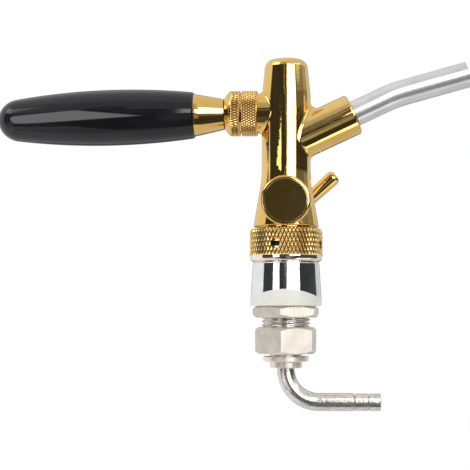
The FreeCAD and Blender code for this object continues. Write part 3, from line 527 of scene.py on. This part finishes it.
class Studio:
    """What mirrors see: a white tent with a dark card in it, bright windows and paler patches.

    Directions are in degrees: around the shank's axis, from the camera's side towards the spout, and along
    it, from the nose towards the wall. Their ranges are (from, to, soft edge).
    """

    def __init__(self, tree):
        direction = tree.node("ShaderNodeTexCoord", output="Generated")
        x, self.y, self.z = [tree.node("ShaderNodeSeparateXYZ", inputs={"Vector": direction}, output=name)
                             for name in ("X", "Y", "Z")]
        degrees = 180 / math.pi
        self.around = tree.maths("ARCTAN2", -self.z, -x) * degrees
        self.along = tree.maths("ARCSINE", self.y) * degrees
        self.off_camera = tree.maths("ABSOLUTE", self.around)
        lanes = tree.node("ShaderNodeCombineXYZ", inputs={"X": self.around / 5, "Y": self.along / 90})
        self.streaks = tree.node("ShaderNodeTexNoise", inputs={"Vector": lanes, "Scale": 1.0, "Detail": 3.0})
        mottle = tree.node("ShaderNodeTexNoise", inputs={"Vector": direction, "Scale": 26.0, "Detail": 4.0})
        self.mottled = 0.08 + 0.45 * mottle.rises(0.42, 0.62)

    def patch(self, turn, tilt):
        """1 in a rectangle of directions."""
        return self.around.within(*turn) * self.along.within(*tilt)

    def card(self):
        """The dark card, whose lower edge drops towards the spout and rises again beyond it."""
        around = self.around
        lower_edge = 40 + 21 * around.rises(-22, -12) - 30 * around.rises(38, 46) - 20 * around.rises(68, 84)
        upper_edge = -25.2 + 4 * around.rises(40, 62) - 12 * around.within(-17, -8, 2.0)
        inside = (self.along - upper_edge).rises(-1, 1) * (1 - (self.along - lower_edge).rises(-3, 3))
        return inside * around.within(-81, 120, 2.0)

    def backdrop(self):
        """The tent, greyer above and below the card, with the card and another one far behind the faucet."""
        card = self.card()
        far_card = self.off_camera.rises(158, 164) * self.along.within(-35, 35, 3.0)
        beside = (-50, 12, 4.0)
        fringe = self.patch(beside, (-58, -24, 8.0)) + self.patch(beside, (44, 70, 6.0))
        tent = (TENT_LEVEL + 0.15 * self.z - 0.05 * self.y) * (1 - 0.35 * fringe)
        card_level = CARD_LEVEL + 0.05 * self.streaks.rises(0.5, 0.8)
        card_level = card_level + CARD_GLOW * self.along.within(-6.5, 2, 1.5)
        return tent * (1 - card) * (1 - far_card) + card_level * card + FAR_CARD_LEVEL * far_card

    def windows(self):
        """The main window on the spout's side, and a low one that the coupling nut's edge shows."""
        main = self.patch((5, 47, 0.8), (-23.6, -4, 0.3)) + self.patch((12, 47, 1.5), (-4, -1, 0.3))
        return WINDOW_LEVEL * main + LOW_WINDOW_LEVEL * self.patch((40, 62, 2.0), (46, 56, 1.5))

    def knurl_patches(self):
        """Patches on both sides that the sloped facets of the coupling nut's knurl show."""
        left = (-85, -38, 4.0)
        right = (42, 92, 4.0)
        low = (14, 45, 4.0)
        glow = LOW_KNURL_LEVEL * (self.patch(left, low) + self.patch(right, low))
        glow = glow + LEFT_KNURL_LEVEL * self.patch(left, (-48, -29, 3.0))
        return glow + RIGHT_KNURL_LEVEL * self.patch(right, (-37, -29, 2.0))

    def haze(self):
        """A pale band that slants across the card, mottled towards the nose."""
        off_band = self.around - (4.5 + 0.5 * self.along)
        mottled_end = self.mottled * off_band.within(-6, 2, 0.8) * self.along.within(-36, -9, 1.0)
        plain_end = off_band.within(-2.5, 3, 0.8) * self.along.within(13, 25, 2.0)
        return MOTTLED_HAZE_LEVEL * mottled_end + PLAIN_HAZE_LEVEL * plain_end

    def table(self):
        """A pale table with a stepped edge, seen against the card."""
        near = TABLE_NEAR_LEVEL * self.patch((1, 14.5, 1.0), (1, 27, 2.0))
        far = TABLE_FAR_LEVEL * self.patch((14.5, 26, 1.0), (1, 13, 2.0))
        return near + far + TABLE_FOOT_LEVEL * self.patch((-4, 8, 3.0), (27, 58, 3.0))

    def side_wall(self):
        """The dim streaked wall on the spout's side, paler farther round."""
        nose_end = WALL_NOSE_LEVEL * self.along.within(-24, -17.5, 0.8)
        level = nose_end + WALL_MIDDLE_LEVEL * self.along.within(-17.5, -9.6, 0.8)
        level = level * (1 + self.around.rises(84, 100)) * (0.6 + 0.8 * self.streaks)
        return self.around.within(50, 126, 2.0) * level

    def brightness(self):
        lit = self.backdrop() + self.windows() + self.knurl_patches()
        return lit + self.haze() + self.table() + self.side_wall()


def hang_studio():
    """White for the camera, an even light for dull surfaces and the studio for mirrors."""
    world = bpy.data.worlds.new("studio")
    bpy.context.scene.world = world
    tree = Tree(world)
    mirrored_light = Studio(tree).brightness()
    seen, mirrored = [tree.node("ShaderNodeLightPath", output=name)
                      for name in ("Is Camera Ray", "Is Glossy Ray")]
    unseen_light = EVEN_LEVEL * (1 - mirrored) + mirrored_light * mirrored
    strength = unseen_light * (1 - seen) + seen
    background = tree.node("ShaderNodeBackground", inputs={"Color": (1, 1, 1, 1), "Strength": strength})
    tree.node("ShaderNodeOutputWorld", inputs={"Surface": background})


def hang_light(name, place, target, width, height, turn, brightness):
    """A flat light that mirrors see as an even rectangle, and the camera doesn't see."""
    data = bpy.data.lights.new(name, "AREA")
    data.shape = "RECTANGLE"
    data.size = width
    data.size_y = height
    data.energy = brightness * math.pi * width * height
    light = bpy.data.objects.new(name, data)
    back = (Vector(place) - Vector(target)).normalized()
    across = Vector((0, -1, 0)).cross(back).normalized()
    upright = Matrix((across, back.cross(across), back)).transposed()
    turned = Matrix.Rotation(math.radians(turn), 3, back) @ upright
    light.matrix_world = Matrix.Translation(place) @ turned.to_4x4()
    light.visible_camera = False
    bpy.context.scene.collection.objects.link(light)
    return light


def light_only(light, *names, others=False):
    """Lets a light fall on some of the frame's nodes alone, or on everything but them."""
    group = bpy.data.collections.new(light.name + "_receivers")
    for index, name in enumerate(names):
        group.objects.link(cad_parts[name])
        if others:
            group.collection_objects[index].light_linking.link_state = "EXCLUDE"
    light.light_linking.receiver_collection = group


def hang_lights():
    """The strip beside the lever, the handle's own, the narrow one beside the spout and the tail's."""
    light_only(hang_light("lever_strip", **LEVER_STRIP), "handle", others=True)
    light_only(hang_light("handle_strip", **HANDLE_STRIP), "handle")
    light_only(hang_light("spout_strip", **SPOUT_STRIP), "handle", others=True)
    light_only(hang_light("tail_strip", **TAIL_STRIP), "tail_elbow", "tail_nut", "lock_nut")


def diamond_height(turns, rows):
    """Height from 0 in a groove to 1 on a diamond's flat top. Grooves run where the sum or the difference
    is whole."""
    slopes = []
    for lane in (turns + rows, turns - rows):
        slopes.append(2 * abs(lane - round(lane)))
    return min(min(slopes) / DIAMOND_FLAT, 1.0)


def diamonds_round(radius, diamond):
    return round(2 * math.pi * radius / diamond[0])


class Ring:
    """A ring of revolution built row by row, with knurled rows where asked."""

    def __init__(self, name, columns, centre, turn):
        self.name = name
        self.columns = columns
        self.centre = centre
        self.turn = turn
        self.rows = []

    def row(self, height, radius, share=0.0, diamonds=0, diamond_rows=0.0, depth=0.0):
        """One ring of vertices. share is how much of the knurl's depth it takes."""
        points = []
        for column in range(self.columns):
            turns = column / self.columns
            groove = 0.0
            if share:
                groove = share * (1 - diamond_height(turns * diamonds, diamond_rows))
            reach = radius - depth * groove
            angle = 2 * math.pi * turns
            points.append((Vector((reach * math.cos(angle), reach * math.sin(angle), height)), groove))
        self.rows.append((points, bool(share)))

    def knurl(self, start, end, radius, diamond, depth, rounding=0.0):
        """Rows of a knurled band whose diamonds run out at its ends, over a rounded first edge if asked."""
        diamonds = diamonds_round(radius, diamond)
        count = max(1, round((end - start) / diamond[1])) * 2 * DIAMOND_STEPS
        for index in range(count + 1):
            rows = index / (2 * DIAMOND_STEPS)
            share = KNURL_RUN_OUT if index in (0, count) else 1.0
            from_start = (end - start) * index / count
            short = max(0.0, rounding - from_start)
            reach = radius - rounding + math.sqrt(rounding ** 2 - short ** 2)
            self.row(start + from_start, reach, share, diamonds, rows, depth)

    def neck_edge(self, height, radius, upwards):
        """The broken edge of a neck ring, where its rows start at a height or where they end at it."""
        step = NECK_EDGE if upwards else -NECK_EDGE
        for climb, inset in NECK_EDGE_ROWS if upwards else reversed(NECK_EDGE_ROWS):
            self.row(height + climb * step, radius - inset * NECK_EDGE)

    def build(self):
        """Joins the rows into one closed ring. Faces off the knurl take its second finish."""
        form = bmesh.new()
        groove_layer = form.verts.layers.float.new("groove")
        grid = []
        for points, _ in self.rows:
            line = []
            for point, groove in points:
                vertex = form.verts.new(self.centre + self.turn @ point)
                vertex[groove_layer] = groove
                line.append(vertex)
            grid.append(line)
        count = len(grid)
        for index in range(count):
            after = (index + 1) % count
            knurled = self.rows[index][1] and self.rows[after][1]
            for column in range(self.columns):
                beside = (column + 1) % self.columns
                corners = (grid[index][column], grid[index][beside], grid[after][beside], grid[after][column])
                if knurled:
                    split_face(form, corners, groove_layer)
                else:
                    form.faces.new(corners).material_index = 1
        bmesh.ops.recalc_face_normals(form, faces=form.faces)
        piece = piece_from(form, self.name)
        soften(piece, SHARP_TURN)
        return piece


def split_face(form, corners, groove_layer):
    """Two triangles that share the diagonal deeper in the knurl, so that its grooves stay straight."""
    first, second, third, fourth = corners
    if first[groove_layer] + third[groove_layer] >= second[groove_layer] + fourth[groove_layer]:
        form.faces.new((first, second, third))
        form.faces.new((first, third, fourth))
    else:
        form.faces.new((first, second, fourth))
        form.faces.new((second, third, fourth))


def make_coupling_nut():
    """Knurled union nut with a smooth band towards the wall and four spanner holes."""
    low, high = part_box("coupling_nut")
    radius = (high.x - low.x) / 2
    band = radius - COUPLING_BAND_STEP
    bore = radius - COUPLING_WALL
    pocket = radius - COUPLING_POCKET_WALL
    front_bore = radius - COUPLING_FRONT_WALL
    columns = diamonds_round(radius, COUPLING_DIAMOND) * 2 * DIAMOND_STEPS
    along_shank = Matrix(((0, 1, 0), (0, 0, 1), (1, 0, 0)))
    ring = Ring("knurled_coupling_nut", columns, Vector(), along_shank)
    knurl_end = high.y - COUPLING_SMOOTH_BAND
    ring.row(low.y, front_bore)
    ring.row(low.y, radius - COUPLING_FRONT_ROUNDING - COUPLING_FACE_STEP)
    ring.knurl(low.y + SLIVER, knurl_end, radius, COUPLING_DIAMOND, COUPLING_KNURL_DEPTH,
               COUPLING_FRONT_ROUNDING)
    ring.row(knurl_end + SLIVER, band)
    rounding = COUPLING_BACK_ROUNDING
    for step in range(ROUNDING_STEPS + 1):
        angle = math.pi / 2 * step / ROUNDING_STEPS
        ring.row(high.y - rounding + rounding * math.sin(angle), band - rounding + rounding * math.cos(angle))
    ring.row(high.y, bore)
    ring.row(low.y + 2 * COUPLING_LIP, bore)
    ring.row(low.y + 2 * COUPLING_LIP, pocket)
    ring.row(low.y + COUPLING_LIP, pocket)
    ring.row(low.y + COUPLING_LIP, front_bore)
    nut = ring.build()
    give_finish(nut, COARSE_KNURL, BAND_GOLD)
    drill_spanner_holes(nut, radius, (low.y + high.y) / 2)
    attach(nut, "coupling_nut")
    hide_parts("coupling_nut")


def drill_spanner_holes(nut, radius, middle):
    cutters = bmesh.new()
    for index in range(SPANNER_HOLE_COUNT):
        angle = math.radians(SPANNER_HOLE_TURN + index * 360 / SPANNER_HOLE_COUNT)
        outwards = Vector((-math.cos(angle), 0, math.sin(angle)))
        centre = outwards * radius + Vector((0, middle, 0))
        turn = outwards.to_track_quat("Z", "Y").to_matrix().to_4x4()
        bmesh.ops.create_cone(cutters, cap_ends=True, segments=SPANNER_HOLE_SIDES,
                              radius1=SPANNER_HOLE_RADIUS, radius2=SPANNER_HOLE_RADIUS,
                              depth=2 * SPANNER_HOLE_DEPTH, matrix=Matrix.Translation(centre) @ turn)
    tool = piece_from(cutters, "holes")
    drill = nut.modifiers.new("holes", "BOOLEAN")
    drill.operation = "DIFFERENCE"
    drill.solver = "EXACT"
    drill.object = tool
    apply_modifiers(nut)
    bpy.data.objects.remove(tool)
    soften(nut, SHARP_TURN)


def apply_modifiers(piece):
    bpy.context.view_layer.update()
    graph = bpy.context.evaluated_depsgraph_get()
    mesh = bpy.data.meshes.new_from_object(piece.evaluated_get(graph))
    piece.modifiers.clear()
    piece.data = mesh


def make_neck_rings():
    """The two knurled rings of the lever neck."""
    low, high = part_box("bonnet")
    cap_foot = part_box("ball_cap")[0].z
    radius = (high.x - low.x) / 2
    axis = Vector((0, (low.y + high.y) / 2, 0))
    columns = diamonds_round(radius, NECK_DIAMOND) * 2 * DIAMOND_STEPS
    lower = Ring("knurled_bonnet", columns, axis, Matrix.Identity(3))
    upper = Ring("knurled_ball_cap", columns, axis, Matrix.Identity(3))
    shape_bonnet(lower, low.z, cap_foot - NECK_GAP, high.z, radius)
    shape_ball_cap(upper, cap_foot, radius)
    for ring, node in ((lower, "bonnet"), (upper, "ball_cap")):
        piece = ring.build()
        give_finish(piece, FINE_KNURL, GOLD)
        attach(piece, "faucet")
        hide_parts(node)


def shape_bonnet(ring, foot, knurl_top, spigot_top, radius):
    """The lower ring, hollow under a roof that carries the spigot."""
    bore = radius - NECK_WALL
    mouth = radius - NECK_MOUTH_WALL
    spigot = radius - SPIGOT_STEP
    ring.row(foot, bore)
    ring.neck_edge(foot, radius, True)
    ring.knurl(foot + NECK_EDGE, knurl_top - NECK_EDGE, radius, NECK_DIAMOND, NECK_KNURL_DEPTH)
    ring.neck_edge(knurl_top, radius, False)
    ring.row(knurl_top, spigot)
    ring.row(spigot_top, spigot)
    ring.row(spigot_top, mouth)
    ring.row(knurl_top - NECK_ROOF, mouth)
    ring.row(knurl_top - NECK_ROOF, bore)


def shape_ball_cap(ring, foot, radius):
    """The upper ring, which ends in a dome over the lever's ball."""
    cap_top = foot + CAP_KNURL_HEIGHT
    bore = radius - SPIGOT_STEP + SPIGOT_PLAY
    dome_foot = radius - CAP_SHOULDER
    dome = math.hypot(dome_foot, cap_top + CAP_SHOULDER - PIVOT_HEIGHT)
    inner_dome = dome - DOME_WALL
    ring.row(foot, bore)
    ring.neck_edge(foot, radius, True)
    ring.knurl(foot + NECK_EDGE, cap_top - NECK_EDGE, radius, NECK_DIAMOND, NECK_KNURL_DEPTH)
    ring.row(cap_top, radius - CAP_SHOULDER / 2)
    dome_rows(ring, dome, dome_foot, DOME_MOUTH_RADIUS)
    dome_rows(ring, inner_dome, DOME_MOUTH_RADIUS, bore)


def dome_rows(ring, dome, start_radius, end_radius):
    """Rows over a sphere round the lever's pivot, from one radius to another."""
    start = math.asin(start_radius / dome)
    end = math.asin(end_radius / dome)
    for step in range(DOME_STEPS + 1):
        angle = start + (end - start) * step / DOME_STEPS
        ring.row(PIVOT_HEIGHT + dome * math.cos(angle), dome * math.sin(angle))


def joined_rings(form, rings):
    """Quads between each ring of vertices and the next."""
    for near, far in zip(rings, rings[1:]):
        for column in range(len(near)):
            beside = (column + 1) % len(near)
            form.faces.new((near[column], near[beside], far[beside], far[column]))


def shank_vertex(form, column, height, radius):
    angle = 2 * math.pi * column / SHANK_COLUMNS
    return form.verts.new((radius * math.sin(angle), height, radius * math.cos(angle)))


def shank_ring(form, height, radius):
    return [shank_vertex(form, column, height, radius) for column in range(SHANK_COLUMNS)]


def thread_grid(form, start, turns):
    """A helical thread: each row climbs by one pitch in a turn and meets the row a pitch above it."""
    rows = turns * THREAD_STEPS + 1
    grid = []
    for row in range(rows):
        wave = THREAD_PROFILE[row % THREAD_STEPS]
        line = []
        for column in range(SHANK_COLUMNS):
            climbed = row / THREAD_STEPS + column / SHANK_COLUMNS
            fade = min(1.0, climbed / THREAD_RUN_OUT, (turns + 1 - climbed) / THREAD_RUN_OUT)
            radius = THREAD_RADIUS - THREAD_DEPTH * wave * max(fade, 0.0)
            line.append(shank_vertex(form, column, start + THREAD_PITCH * climbed, radius))
        grid.append(line)
    for near, far in zip(grid, grid[1:]):
        for column in range(SHANK_COLUMNS - 1):
            form.faces.new((near[column], near[column + 1], far[column + 1], far[column]))
    for row in range(rows - 1 - THREAD_STEPS):
        above = row + THREAD_STEPS
        form.faces.new((grid[row][-1], grid[above][0], grid[above + 1][0], grid[row + 1][-1]))
    return grid


def close_thread_end(form, ring, grid, lower):
    """Faces between a flat ring and the stepped end of the thread."""
    edge = grid[0] if lower else grid[-1]
    for column in range(SHANK_COLUMNS - 1):
        form.faces.new((ring[column], ring[column + 1], edge[column + 1], edge[column]))
    if lower:
        step = [line[0] for line in grid[:THREAD_STEPS + 1]]
        form.faces.new([ring[-1], ring[0], *step, edge[-1]])
    else:
        step = [line[-1] for line in reversed(grid[-THREAD_STEPS - 1:])]
        form.faces.new([ring[0], ring[-1], *step, edge[0]])


def make_threaded_shank():
    """The shank with a real helical thread where the nuts run."""
    low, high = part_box("shank")
    flange_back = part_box("shank_collar")[0].y
    flange_front = flange_back - SHANK_FLANGE_THICKNESS
    flange = (high.x - low.x) / 2
    front = flange - SHANK_FLANGE_STEP
    thread_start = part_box("lock_nut")[0].y
    turns = int((high.y - SHANK_BEVEL - thread_start) / THREAD_PITCH) - 1
    form = bmesh.new()
    fore = [shank_ring(form, height, radius) for height, radius in (
        (low.y + SHANK_TAPER_LENGTH, SHANK_BORE_RADIUS), (low.y, SHANK_MOUTH_RADIUS),
        (low.y, front - SHANK_BEVEL), (low.y + SHANK_BEVEL, front),
        (flange_front, front), (flange_front, flange), (flange_back, flange),
        (flange_back, THREAD_RADIUS), (thread_start - SLIVER, THREAD_RADIUS))]
    aft = [shank_ring(form, height, radius) for height, radius in (
        (high.y - SHANK_BEVEL, THREAD_RADIUS), (high.y, THREAD_RADIUS - SHANK_BEVEL),
        (high.y, SHANK_BORE_RADIUS))]
    joined_rings(form, fore)
    joined_rings(form, aft)
    joined_rings(form, [aft[-1], fore[0]])
    grid = thread_grid(form, thread_start, turns)
    close_thread_end(form, fore[-1], grid, True)
    close_thread_end(form, aft[0], grid, False)
    bmesh.ops.recalc_face_normals(form, faces=form.faces)
    shank = piece_from(form, "threaded_shank")
    soften(shank, SHARP_TURN)
    give_finish(shank, TUBE_NICKEL)
    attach(shank, "faucet")
    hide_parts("shank")


bpy.context.scene.view_settings.view_transform = "Standard"
place_camera()
hang_studio()
hang_lights()
lay_floor()
dress_frame()
make_coupling_nut()
make_neck_rings()
make_threaded_shank()
soften_frame()
